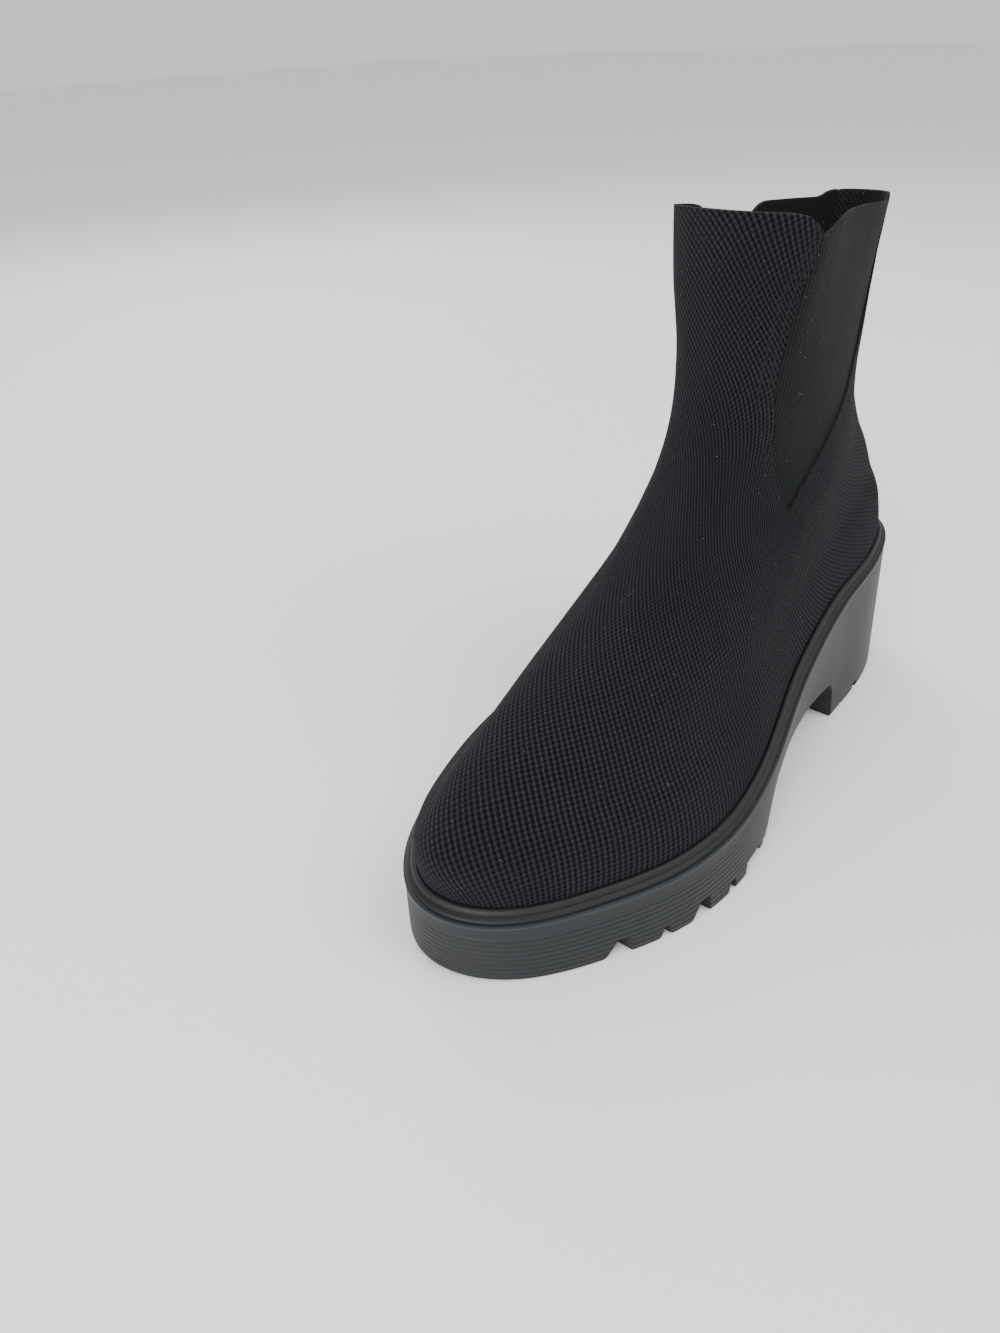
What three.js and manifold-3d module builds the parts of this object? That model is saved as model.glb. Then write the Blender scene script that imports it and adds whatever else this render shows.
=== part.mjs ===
// Knit sock boot for the left foot on a lugged unit sole.
// Millimetres, +X to the toe, +Y to the wearer's left, +Z up, the floor at Z 0.
import * as THREE from 'three';
import { mergeVertices } from 'three/addons/utils/BufferGeometryUtils.js';
import Module from 'manifold-3d';

const wasm = await Module();
wasm.setup();

// Main sizes
const LENGTH = 262; // outsole, back of the heel to the toe
const BALL = 100; // reference width of the forefoot
const PLATFORM = 23; // side wall under the forefoot
const HEEL_WALL = 60.5; // side wall at the back of the heel
const INSTEP = 92; // height of the instep's middle
const COLLAR_FRONT = 192;
const COLLAR_BACK = 184;

// Walls and joints
const KNIT = 2.2;
const GORE = 1.4;
const GORE_STEP = 0.8; // the gore's face lies this far behind the knit's
const INSOLE = 3;
const GAP = 0.3; // between neighbouring pieces
const INSOLE_EASE = 1; // extra room round the insole
const MARGIN = 30; // how far cutters reach past what they cut

// Side wall of the sole
const RIB_PITCH = 2.6;
const RIB_DEPTH = 0.5;
const EDGE_PROUD = 0.15; // the smooth border stands this far out
const EDGE_CHAMFER = 1.2;
const BORDER_TOE = 5;
const BORDER_HEEL = 2.5;
const TOE_SPRING = 1.2;
const LUG_REACH = 17; // how far the side notches run in under the sole
const CHANNEL = 2.6; // depth of the cross channels in the middle
const CHANNEL_WIDTH = 4.5;

const STATIONS = 56; // points round each ring

// Smooth curve through the knots of one table column. Flat ends suit a mirrored outline.
function curve(knots, values, flat = false) {
  const last = knots.length - 1;
  const slope = (i) => (values[i + 1] - values[i]) / (knots[i + 1] - knots[i]);
  const tangent = (i) => {
    if (i === 0) return flat ? 0 : slope(0);
    if (i === last) return flat ? 0 : slope(last - 1);
    const before = knots[i] - knots[i - 1];
    const after = knots[i + 1] - knots[i];
    return (slope(i - 1) * after + slope(i) * before) / (before + after);
  };
  return (x) => {
    let i = 0;
    while (i < last - 1 && x >= knots[i + 1]) i += 1;
    const span = knots[i + 1] - knots[i];
    const u = THREE.MathUtils.clamp((x - knots[i]) / span, 0, 1);
    const rise = u * u * (3 - 2 * u);
    const lead = u * (1 - u) * (1 - u) * span;
    const tail = u * u * (u - 1) * span;
    return values[i] + (values[i + 1] - values[i]) * rise + tangent(i) * lead + tangent(i + 1) * tail;
  };
}

// Table rows to one curve per column, the first column being the knots.
function curves(columns, rows, flat = false) {
  const knots = rows.map((row) => row[0]);
  const column = (i) => rows.map((row) => row[i]);
  const entries = columns.slice(1).map((name, i) => [name, curve(knots, column(i + 1), flat)]);
  return Object.fromEntries(entries);
}

// Half widths as shares of BALL by the angle from the back (0) to the front (180) of each outline.
// outerFull, innerFull: how much of a ring's fullness each side takes.
const PLAN = curves(['angle', 'sole', 'shift', 'instep', 'ankle', 'collar', 'outerFull', 'innerFull'], [
  [0, 0.53, 0, 0.22, 0.175, 0.29, 0, 0],
  [20, 0.519, 0.005, 0.213, 0.175, 0.267, 0.1, 0.1],
  [40, 0.439, -0.0075, 0.224, 0.184, 0.218, 0.35, 0.35],
  [60, 0.373, -0.019, 0.253, 0.18, 0.2, 0.8, 0.75],
  [80, 0.36, 0.016, 0.271, 0.2, 0.194, 1, 0.8],
  [100, 0.455, 0.0245, 0.268, 0.229, 0.224, 0.9, 0.3],
  [120, 0.546, 0.003, 0.252, 0.261, 0.305, 0.6, -0.25],
  [140, 0.552, -0.02, 0.231, 0.295, 0.41, 0.3, -0.35],
  [160, 0.563, -0.03, 0.254, 0.325, 0.44, 0.1, -0.15],
  [180, 0.57, -0.04, 0.287, 0.318, 0.435, 0, 0],
], true);

// Along the length: how far the side wall has climbed from PLATFORM to HEEL_WALL,
// and how far its foot is drawn in, as a share of BALL.
const WALL = curves(['along', 'climb', 'tuck'], [
  [0, 1, -0.03],
  [0.12, 0.84, -0.03],
  [0.25, 0.712, -0.025],
  [0.38, 0.53, 0.025],
  [0.5, 0.28, 0.02],
  [0.62, 0.032, -0.024],
  [0.75, 0, -0.018],
  [0.9, 0, -0.012],
  [1, 0, -0.005],
]);

// Rings of the upper from the welt (0) to the collar (11) and a little above.
// backX, frontX: shares of LENGTH. backRise: share of the way from HEEL_WALL to COLLAR_BACK.
// frontRise: 0 to 1 from PLATFORM to INSTEP, 1 to 2 from INSTEP to COLLAR_FRONT.
// inset, lean, full: shares of BALL. toInstep, toAnkle, toCollar: shares of each plan in the mix.
const RINGS = curves(
  ['level', 'backX', 'backRise', 'frontX', 'frontRise', 'inset', 'toInstep', 'toAnkle', 'toCollar',
    'lean', 'full'],
  [
    [0, 0.0205, 0, 0.9795, 0, 0.055, 0, 0, 0, 0, 0],
    [0.35, 0.0195, 0.03, 0.981, 0.05, 0.053, 0, 0, 0, 0, 0],
    [1, 0.012, 0.13, 0.99, 0.203, 0.082, 0.09, 0, 0, 0, 0.02],
    [2, 0.018, 0.215, 0.965, 0.362, 0.158, 0.34, 0, 0, -0.004, 0.055],
    [3, 0.037, 0.296, 0.899, 0.51, 0.158, 0.6, 0, 0, -0.005, 0.034],
    [4, 0.061, 0.369, 0.815, 0.645, 0.138, 0.85, 0, 0, -0.008, 0.009],
    [5, 0.081, 0.45, 0.711, 0.804, 0.117, 0.95, 0.05, 0, -0.012, 0],
    [6, 0.092, 0.527, 0.605, 1, 0.1, 0.75, 0.25, 0, -0.025, 0],
    [7, 0.089, 0.612, 0.523, 1.15, 0.1, 0.45, 0.55, 0, -0.037, 0],
    [8, 0.0765, 0.701, 0.473, 1.335, 0.1, 0.15, 0.85, 0, -0.042, 0],
    [9, 0.063, 0.798, 0.449, 1.55, 0.1, 0, 0.85, 0.15, -0.052, 0],
    [10, 0.053, 0.904, 0.4395, 1.78, 0.1, 0, 0.4, 0.6, -0.06, 0],
    [11, 0.051, 1, 0.4395, 2, 0.1, 0, 0.15, 0.85, -0.052, 0],
    [12, 0.051, 1.08, 0.4395, 2.1, 0.1, 0, 0.15, 0.85, -0.052, 0],
  ],
);
const FEATHER_FADE = 5; // rings below this level follow the sole's curved edge

// Levels at which the knit's outer face and its lining get a ring
const OUTER_LEVELS = [
  0, 0.2, 0.4, 0.7, 1, 1.4, 1.9, 2.5, 3.1, 3.8, 4.5, 5.1, 5.7, 6.3, 6.9, 7.5, 8.2, 9, 9.8, 10.6, 12,
];
const INNER_LEVELS = [0, 0.4, 1, 1.7, 2.5, 3.5, 4.5, 5.4, 6.2, 7, 8, 9, 10, 11, 12];

// The gore's two seams in side view: shares of LENGTH and of COLLAR_FRONT.
// They meet in a point low at the front.
// The inner gore's front seam slants back from there to the collar.
const GORE_FRONT_SEAM = [
  [0.384, 1.1],
  [0.3825, 0.966],
  [0.389, 0.928],
  [0.398, 0.892],
  [0.408, 0.794],
  [0.417, 0.73],
  [0.419, 0.65],
  [0.42, 0.6],
  [0.422, 0.54],
];
const INNER_FRONT_SEAM = [
  [0.318, 1.1],
  [0.32, 0.966],
  [0.34, 0.85],
  [0.376, 0.73],
  [0.405, 0.64],
  [0.422, 0.54],
];
const GORE_BACK_SEAM = [
  [0.417, 0.533],
  [0.381, 0.562],
  [0.34, 0.592],
  [0.281, 0.631],
  [0.225, 0.669],
  [0.165, 0.735],
  [0.115, 0.815],
  [0.083, 0.875],
  [0.069, 0.94],
  [0.067, 1.1],
];

// Collar edges: how far each lies above the straight line from COLLAR_BACK to COLLAR_FRONT,
// along the collar from the back (0) to the front (1). The strips' corners are rounded.
const OUTER_EDGE = [
  [-0.3, 2],
  [0.05, 2],
  [0.08, 1.6],
  [0.11, 0],
  [0.13, -0.4],
  [0.4, 0.4],
  [0.6, 0],
  [0.7, -1.4],
  [0.79, -4],
  [0.85, -5.6],
  [0.868, -4.6],
  [0.884, -2],
  [0.905, -0.3],
  [0.94, 0.6],
  [1.3, 1.2],
];
const INNER_EDGE = [
  [-0.3, 2],
  [0.05, 2],
  [0.08, 1.6],
  [0.11, 0],
  [0.13, -0.4],
  [0.42, -0.4],
  [0.46, -1.5],
  [0.5, -5.5],
  [0.53, -8],
  [0.69, -8],
  [0.705, -4],
  [0.73, -1],
  [0.77, 0],
  [0.94, 0.6],
  [1.3, 1.2],
];

// Lower edge of the sole in side view: share of LENGTH and height as a share of PLATFORM.
const ARCH = [
  [0.263, -1],
  [0.263, 0],
  [0.268, 0.55],
  [0.276, 0.72],
  [0.29, 0.78],
  [0.35, 0.805],
  [0.45, 0.74],
  [0.51, 0.67],
  [0.53, 0.6],
  [0.545, 0.4],
  [0.562, 0.19],
  [0.573, 0.18],
  [0.576, 0.11],
  [0.588, 0.17],
  [0.592, 0.1],
  [0.606, 0.14],
  [0.608, 0.24],
  [0.645, 0.22],
  [0.652, 0],
  [0.652, -1],
];
// Notches of the lower edge: back, roof's back, roof's front and front as shares of LENGTH,
// height as a share of PLATFORM.
const NOTCHES = [
  { back: 0.103, roofBack: 0.106, roofFront: 0.111, front: 0.115, high: 0.09 },
  { back: 0.16, roofBack: 0.164, roofFront: 0.176, front: 0.184, high: 0.16 },
  { back: 0.218, roofBack: 0.222, roofFront: 0.228, front: 0.232, high: 0.09 },
  { back: 0.673, roofBack: 0.676, roofFront: 0.686, front: 0.694, high: 0.2 },
  { back: 0.726, roofBack: 0.728, roofFront: 0.744, front: 0.761, high: 0.3 },
  { back: 0.787, roofBack: 0.791, roofFront: 0.799, front: 0.806, high: 0.2 },
  { back: 0.838, roofBack: 0.84, roofFront: 0.856, front: 0.873, high: 0.3 },
];
// Cross channels under the middle of the sole
const CHANNELS = [0.05, 0.135, 0.195, 0.702, 0.766, 0.815, 0.905];

const COLOURS = {
  outsole: '#3b4046',
  welt: '#33363b',
  upper: '#1b1b1f',
  gore_left: '#202324',
  gore_right: '#202324',
  insole: '#17171a',
};

// Angles round a ring from the back over the wearer's left to the front and home again.
const ANGLES = Array.from({ length: STATIONS }, (_, i) => (2 * Math.PI * i) / STATIONS);

function round(angle) {
  const left = angle <= Math.PI;
  const half = left ? angle : 2 * Math.PI - angle;
  return {
    side: (left ? 1 : -1) * Math.sin(half),
    degrees: THREE.MathUtils.radToDeg(half),
    along: (1 - Math.cos(half)) / 2,
  };
}

// Share of the wall's climb at X, its height there and the height of its smooth border
const climbAt = (x) => WALL.climb(THREE.MathUtils.clamp(x / LENGTH, 0, 1));
const wallHeight = (x) => PLATFORM + (HEEL_WALL - PLATFORM) * climbAt(x);
const borderHeight = (x) => BORDER_TOE + (BORDER_HEEL - BORDER_TOE) * climbAt(x);

// Point of the sole's outline, drawn in by `inset`. `height` gives Z from X.
function solePoint(angle, inset, height) {
  const { side, degrees, along } = round(angle);
  const x = inset + (LENGTH - 2 * inset) * along;
  const z = height(x);
  const tuck = WALL.tuck(along) * BALL * (1 - THREE.MathUtils.clamp(z / wallHeight(x), 0, 1));
  const y = side * (PLAN.sole(degrees) * BALL - inset - tuck) + PLAN.shift(degrees) * BALL;
  return new THREE.Vector3(x, y, z);
}
const soleRing = (inset, height) => ANGLES.map((angle) => solePoint(angle, inset, height));

// Point of the knit's outer face.
function upperPoint(level, angle) {
  const { side, degrees, along } = round(angle);
  const row = Object.fromEntries(Object.entries(RINGS).map(([name, read]) => [name, read(level)]));
  const x = LENGTH * (row.backX + (row.frontX - row.backX) * along);
  const back = HEEL_WALL + GAP + row.backRise * (COLLAR_BACK - HEEL_WALL - GAP);
  const front = row.frontRise <= 1
    ? PLATFORM + GAP + row.frontRise * (INSTEP - PLATFORM - GAP)
    : INSTEP + (row.frontRise - 1) * (COLLAR_FRONT - INSTEP);
  const fade = Math.max(1 - level / FEATHER_FADE, 0) ** 1.5;
  const feather = LENGTH * (RINGS.backX(0) + (RINGS.frontX(0) - RINGS.backX(0)) * along);
  const bend = wallHeight(feather) - HEEL_WALL - (PLATFORM - HEEL_WALL) * along;
  const z = back + (front - back) * along + fade * bend;
  const kept = 1 - row.toInstep - row.toAnkle - row.toCollar;
  const half = kept * (PLAN.sole(degrees) - row.inset) + row.toInstep * PLAN.instep(degrees)
    + row.toAnkle * PLAN.ankle(degrees) + row.toCollar * PLAN.collar(degrees)
    + row.full * (side > 0 ? PLAN.outerFull(degrees) : PLAN.innerFull(degrees));
  const y = BALL * (side * half + row.lean + kept * PLAN.shift(degrees));
  return new THREE.Vector3(x, y, z);
}

// The same point moved in from the face by `depth`.
function innerPoint(level, angle, depth) {
  const step = 0.02;
  const up = upperPoint(level + step, angle).sub(upperPoint(Math.max(level - step, 0), angle));
  const before = angle - step + (angle < step ? 2 * Math.PI : 0);
  const onward = upperPoint(level, angle + step).sub(upperPoint(level, before));
  const out = new THREE.Vector3().crossVectors(up, onward).normalize();
  return upperPoint(level, angle).addScaledVector(out, -depth);
}
const upperRing = (level, depth) => ANGLES.map((angle) => innerPoint(level, angle, depth));

const lower = (ring, by) => ring.map((point) => point.clone().setZ(point.z - by));

// Closed solid between stacked rings, each end closed by a ladder of rungs across it.
function loft(rings) {
  const n = STATIONS;
  const at = (ring, i) => ring * n + (i % n);
  const faces = [];
  for (let ring = 0; ring < rings.length - 1; ring += 1) {
    for (let i = 0; i < n; i += 1) {
      faces.push(at(ring, i), at(ring + 1, i + 1), at(ring, i + 1));
      faces.push(at(ring, i), at(ring + 1, i), at(ring + 1, i + 1));
    }
  }
  const top = rings.length - 1;
  for (let i = 0; i < n / 2; i += 1) {
    const [a, b, c, d] = [i, i + 1, n - i - 1, (n - i) % n];
    if (b !== c) faces.push(at(0, a), at(0, b), at(0, c), at(top, a), at(top, c), at(top, b));
    if (a !== d) faces.push(at(0, a), at(0, c), at(0, d), at(top, a), at(top, d), at(top, c));
  }
  return solid(rings.flat(), faces);
}

// Closed hoop: each ring joins the next, the last joins the first.
function hoop(rings) {
  const n = STATIONS;
  const faces = [];
  for (let ring = 0; ring < rings.length; ring += 1) {
    const next = (ring + 1) % rings.length;
    for (let i = 0; i < n; i += 1) {
      const j = (i + 1) % n;
      faces.push(ring * n + i, next * n + j, ring * n + j, ring * n + i, next * n + i, next * n + j);
    }
  }
  return solid(rings.flat(), faces);
}

function solid(points, faces) {
  const mesh = new wasm.Mesh({
    numProp: 3,
    vertProperties: new Float32Array(points.flatMap((point) => [point.x, point.y, point.z])),
    triVerts: new Uint32Array(faces),
  });
  return new wasm.Manifold(mesh);
}

// Prism across the boot from an outline in side view, between two values of Y.
function prism(outline, from = -BALL, to = BALL) {
  const shape = new THREE.Shape(outline.map(([x, z]) => new THREE.Vector2(x, z)));
  const geometry = new THREE.ExtrudeGeometry(shape, { depth: to - from, bevelEnabled: false });
  geometry.rotateX(Math.PI / 2).translate(0, to, 0);
  geometry.deleteAttribute('normal').deleteAttribute('uv');
  const merged = mergeVertices(geometry);
  const corners = merged.getAttribute('position');
  const corner = (_, i) => new THREE.Vector3().fromBufferAttribute(corners, i);
  return solid(Array.from({ length: corners.count }, corner), Array.from(merged.index.array));
}

// Side view outline moved in by `by` on every side.
function shrink(outline, by) {
  const count = outline.length;
  const turn = Math.sign(THREE.ShapeUtils.area(outline.map(([x, z]) => new THREE.Vector2(x, z))));
  const normal = (i) => {
    const [ax, az] = outline[i % count];
    const [bx, bz] = outline[(i + 1) % count];
    return new THREE.Vector2(az - bz, bx - ax).normalize().multiplyScalar(turn);
  };
  return outline.map(([x, z], i) => {
    const before = normal(i + count - 1);
    const after = normal(i);
    const mean = before.clone().add(after).normalize();
    const reach = by / Math.max(mean.dot(after), 0.5);
    return [x + mean.x * reach, z + mean.y * reach];
  });
}

const share = (rows, width, height) => rows.map(([x, z]) => [x * width, z * height]);

function buildOutsole() {
  const rings = [soleRing(EDGE_CHAMFER, () => 0)];
  for (let z = EDGE_CHAMFER; z < HEEL_WALL; z += RIB_PITCH) {
    rings.push(soleRing(0, () => z), soleRing(RIB_DEPTH, () => z + RIB_PITCH / 2));
  }
  const ribbed = loft(rings);

  const steps = 24;
  const roof = Array.from({ length: steps + 1 }, (_, i) => {
    const x = -MARGIN + ((LENGTH + 2 * MARGIN) * i) / steps;
    return [x, wallHeight(x) - borderHeight(x) / 2];
  });
  const spring = [[0.86, 0], [0.9, 0.08], [0.95, 0.42], [1, 1], [1.1, 2.2]];
  const side = [
    [-MARGIN, 0],
    ...share(ARCH.slice(1, -1), LENGTH, PLATFORM),
    ...share(spring, LENGTH, TOE_SPRING),
    ...roof.reverse(),
  ];
  const body = ribbed.intersect(prism(side));

  const border = loft([
    soleRing(-EDGE_PROUD, (x) => wallHeight(x) - borderHeight(x)),
    soleRing(-EDGE_PROUD, (x) => wallHeight(x) - EDGE_PROUD),
    soleRing(EDGE_PROUD, (x) => wallHeight(x)),
  ]);
  return cutLugs(body.add(border));
}

function cutLugs(sole) {
  const notches = NOTCHES.map(({ back, roofBack, roofFront, front, high }) => prism([
    [back * LENGTH, -PLATFORM],
    [front * LENGTH, -PLATFORM],
    [front * LENGTH, 0],
    [roofFront * LENGTH, high * PLATFORM],
    [roofBack * LENGTH, high * PLATFORM],
    [back * LENGTH, 0],
  ]));
  const core = loft([
    lower(soleRing(LUG_REACH, () => 0), PLATFORM / 2),
    soleRing(LUG_REACH, () => PLATFORM / 2),
  ]);
  const channels = CHANNELS.map((x) => prism([
    [x * LENGTH, -PLATFORM],
    [x * LENGTH + CHANNEL_WIDTH, -PLATFORM],
    [x * LENGTH + CHANNEL_WIDTH, CHANNEL],
    [x * LENGTH, CHANNEL],
  ]).intersect(core));
  let cut = sole;
  for (const notch of notches) cut = cut.subtract(notch.subtract(core));
  for (const channel of channels) cut = cut.subtract(channel);
  return cut;
}

// Section of the welt from the wall's top edge inwards: inset and height above the ledge.
const WELT = [
  [1, GAP],
  [1, 0.7],
  [3, 2],
  [3.1, 2.8],
  [3.7, 3.4],
  [4.5, 3.4],
  [4.9, 2.8],
  [4.9, GAP],
];

function buildWelt() {
  return hoop(WELT.map(([inset, rise]) => soleRing(inset, (x) => wallHeight(x) + rise)));
}

// Solid inside the face moved in by `depth`, reaching past both openings.
function lining(depth) {
  const rings = INNER_LEVELS.map((level) => upperRing(level, depth));
  return loft([lower(rings[0], MARGIN / 3), ...rings, lower(rings.at(-1), -MARGIN / 3)]);
}

const MIDDLE = BALL * RINGS.lean(11); // Y of the shaft's middle

// Prism on one half of the boot only, just past its middle: side 1 is the outer half, -1 the inner.
function halfPrism(outline, side) {
  return side > 0 ? prism(outline, MIDDLE - GAP, BALL) : prism(outline, -BALL, MIDDLE + GAP);
}

// Everything under the collar's edge
function underCollar(side) {
  const back = RINGS.backX(11) * LENGTH;
  const front = RINGS.frontX(11) * LENGTH;
  const edge = (side > 0 ? OUTER_EDGE : INNER_EDGE).map(([along, lift]) => [
    back + (front - back) * along,
    COLLAR_BACK + (COLLAR_FRONT - COLLAR_BACK) * along + lift,
  ]);
  const ahead = [[LENGTH, 0], [LENGTH, COLLAR_FRONT]];
  const behind = [[-LENGTH, COLLAR_BACK], [-LENGTH, 0]];
  return halfPrism([...ahead, ...edge.reverse(), ...behind], side);
}

function goreOutline(side) {
  const front = side > 0 ? GORE_FRONT_SEAM : INNER_FRONT_SEAM;
  return share([...front, ...GORE_BACK_SEAM], LENGTH, COLLAR_FRONT);
}

function buildUpper() {
  const face = loft(OUTER_LEVELS.map((level) => upperRing(level, 0)));
  const shell = face.subtract(lining(KNIT)).intersect(underCollar(1).add(underCollar(-1)));
  return shell.subtract(halfPrism(goreOutline(1), 1)).subtract(halfPrism(goreOutline(-1), -1));
}

function buildGore(side) {
  const rings = INNER_LEVELS.filter((level) => level >= 4).map((level) => upperRing(level, GORE_STEP));
  const window = halfPrism(shrink(goreOutline(side), GAP), side);
  return loft(rings).subtract(lining(GORE_STEP + GORE)).intersect(underCollar(side)).intersect(window);
}

function buildInsole() {
  const inset = RINGS.inset(0) * BALL + KNIT + INSOLE_EASE;
  const plate = (rise) => soleRing(inset, (x) => wallHeight(x) + rise);
  return loft([plate(GAP), plate(GAP + INSOLE)]);
}

function toMesh(name, part) {
  const { numProp, vertProperties, triVerts } = part.getMesh();
  const geometry = new THREE.BufferGeometry();
  const positions = new Float32Array((vertProperties.length / numProp) * 3);
  for (let i = 0; i < positions.length / 3; i += 1) {
    for (let k = 0; k < 3; k += 1) positions[i * 3 + k] = vertProperties[i * numProp + k];
  }
  geometry.setAttribute('position', new THREE.BufferAttribute(positions, 3));
  geometry.setIndex(Array.from(triVerts));
  const material = new THREE.MeshStandardMaterial({ color: COLOURS[name], roughness: 0.8 });
  const mesh = new THREE.Mesh(geometry, material);
  mesh.name = name;
  return mesh;
}

const pieces = {
  outsole: buildOutsole(),
  welt: buildWelt(),
  upper: buildUpper(),
  gore_left: buildGore(1),
  gore_right: buildGore(-1),
  insole: buildInsole(),
};

const boot = new THREE.Group();
boot.name = 'sock_boot';
const box = new THREE.Box3();
for (const [name, part] of Object.entries(pieces)) {
  const mesh = toMesh(name, part);
  boot.add(mesh);
  box.expandByObject(mesh);
}
const centre = box.getCenter(new THREE.Vector3());
for (const mesh of boot.children) mesh.geometry.translate(-centre.x, -centre.y, -box.min.z);

export default boot;
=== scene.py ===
"""Looks of the knit sock boot: dressed over its solids, with camera, floor and light. Metres."""
import math

import bmesh
import bpy
import numpy as np
from mathutils import Matrix, Vector


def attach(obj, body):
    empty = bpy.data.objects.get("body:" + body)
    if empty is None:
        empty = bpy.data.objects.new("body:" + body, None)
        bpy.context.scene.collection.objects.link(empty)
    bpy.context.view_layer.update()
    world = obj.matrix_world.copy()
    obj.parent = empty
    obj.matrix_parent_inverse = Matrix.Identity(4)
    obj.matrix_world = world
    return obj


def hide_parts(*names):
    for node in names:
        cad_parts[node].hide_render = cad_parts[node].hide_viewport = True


# Sizes in millimetres, as in the source of the solids
LENGTH = 262.0
BALL = 100.0
PLATFORM = 23.0
HEEL_WALL = 60.5
INSTEP = 92.0
COLLAR_FRONT = 192.0
COLLAR_BACK = 184.0
KNIT = 2.2
GORE = 1.4
GORE_STEP = 0.8
GAP = 0.3
TOE_SPRING = 1.2
LUG_REACH = 17.0
BORDER_TOE = 5.0
BORDER_HEEL = 2.5
CENTRE = np.array([131.0, 1.25, 0.0])  # middle of the plan, measured from the back of the heel
MM = 0.001
FULL_TURN = 2 * math.pi
FAR = 1e9  # more than any distance, mm

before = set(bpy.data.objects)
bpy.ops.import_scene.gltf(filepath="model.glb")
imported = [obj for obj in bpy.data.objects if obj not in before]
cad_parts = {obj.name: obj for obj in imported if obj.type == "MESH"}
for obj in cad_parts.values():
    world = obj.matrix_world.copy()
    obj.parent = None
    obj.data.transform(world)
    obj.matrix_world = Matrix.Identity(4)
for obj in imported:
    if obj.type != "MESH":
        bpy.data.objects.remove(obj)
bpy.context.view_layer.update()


# Curves and tables

def curve(knots, values, flat=False):
    """Smooth curve through the knots. Flat ends suit a mirrored outline."""
    x = np.asarray(knots, float)
    y = np.asarray(values, float)
    gap = np.diff(x)
    slope = np.diff(y) / gap
    tangent = np.zeros(len(x))
    tangent[1:-1] = (slope[:-1] * gap[1:] + slope[1:] * gap[:-1]) / (gap[:-1] + gap[1:])
    if not flat:
        tangent[0], tangent[-1] = slope[0], slope[-1]

    def read(at):
        at = np.asarray(at, float)
        i = np.clip(np.searchsorted(x, at, side="right") - 1, 0, len(x) - 2)
        u = np.clip((at - x[i]) / gap[i], 0, 1)
        rise = u * u * (3 - 2 * u)
        lead = u * (1 - u) ** 2 * gap[i] * tangent[i]
        tail = u * u * (u - 1) * gap[i] * tangent[i + 1]
        return y[i] + (y[i + 1] - y[i]) * rise + lead + tail
    return read


def curves(columns, rows, flat=False):
    """One curve per column of a table, the first column being the knots."""
    table = np.array(rows, float)
    return {name: curve(table[:, 0], table[:, i + 1], flat) for i, name in enumerate(columns[1:])}


# Half widths as shares of BALL by the angle from the back (0) to the front (180) of each outline.
# outerFull, innerFull: how much of a ring's fullness each side takes.
PLAN = curves(["angle", "sole", "shift", "instep", "ankle", "collar", "outerFull", "innerFull"], [
    [0, 0.53, 0, 0.22, 0.175, 0.29, 0, 0],
    [20, 0.519, 0.005, 0.213, 0.175, 0.267, 0.1, 0.1],
    [40, 0.439, -0.0075, 0.224, 0.184, 0.218, 0.35, 0.35],
    [60, 0.373, -0.019, 0.253, 0.18, 0.2, 0.8, 0.75],
    [80, 0.36, 0.016, 0.271, 0.2, 0.194, 1, 0.8],
    [100, 0.455, 0.0245, 0.268, 0.229, 0.224, 0.9, 0.3],
    [120, 0.546, 0.003, 0.252, 0.261, 0.305, 0.6, -0.25],
    [140, 0.552, -0.02, 0.231, 0.295, 0.41, 0.3, -0.35],
    [160, 0.563, -0.03, 0.254, 0.325, 0.44, 0.1, -0.15],
    [180, 0.57, -0.04, 0.287, 0.318, 0.435, 0, 0],
], True)

# Climb of the side wall from PLATFORM to HEEL_WALL, and tuck of its foot as a share of BALL
WALL = curves(["along", "climb", "tuck"], [
    [0, 1, -0.03],
    [0.12, 0.84, -0.03],
    [0.25, 0.712, -0.025],
    [0.38, 0.53, 0.025],
    [0.5, 0.28, 0.02],
    [0.62, 0.032, -0.024],
    [0.75, 0, -0.018],
    [0.9, 0, -0.012],
    [1, 0, -0.005],
])

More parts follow.
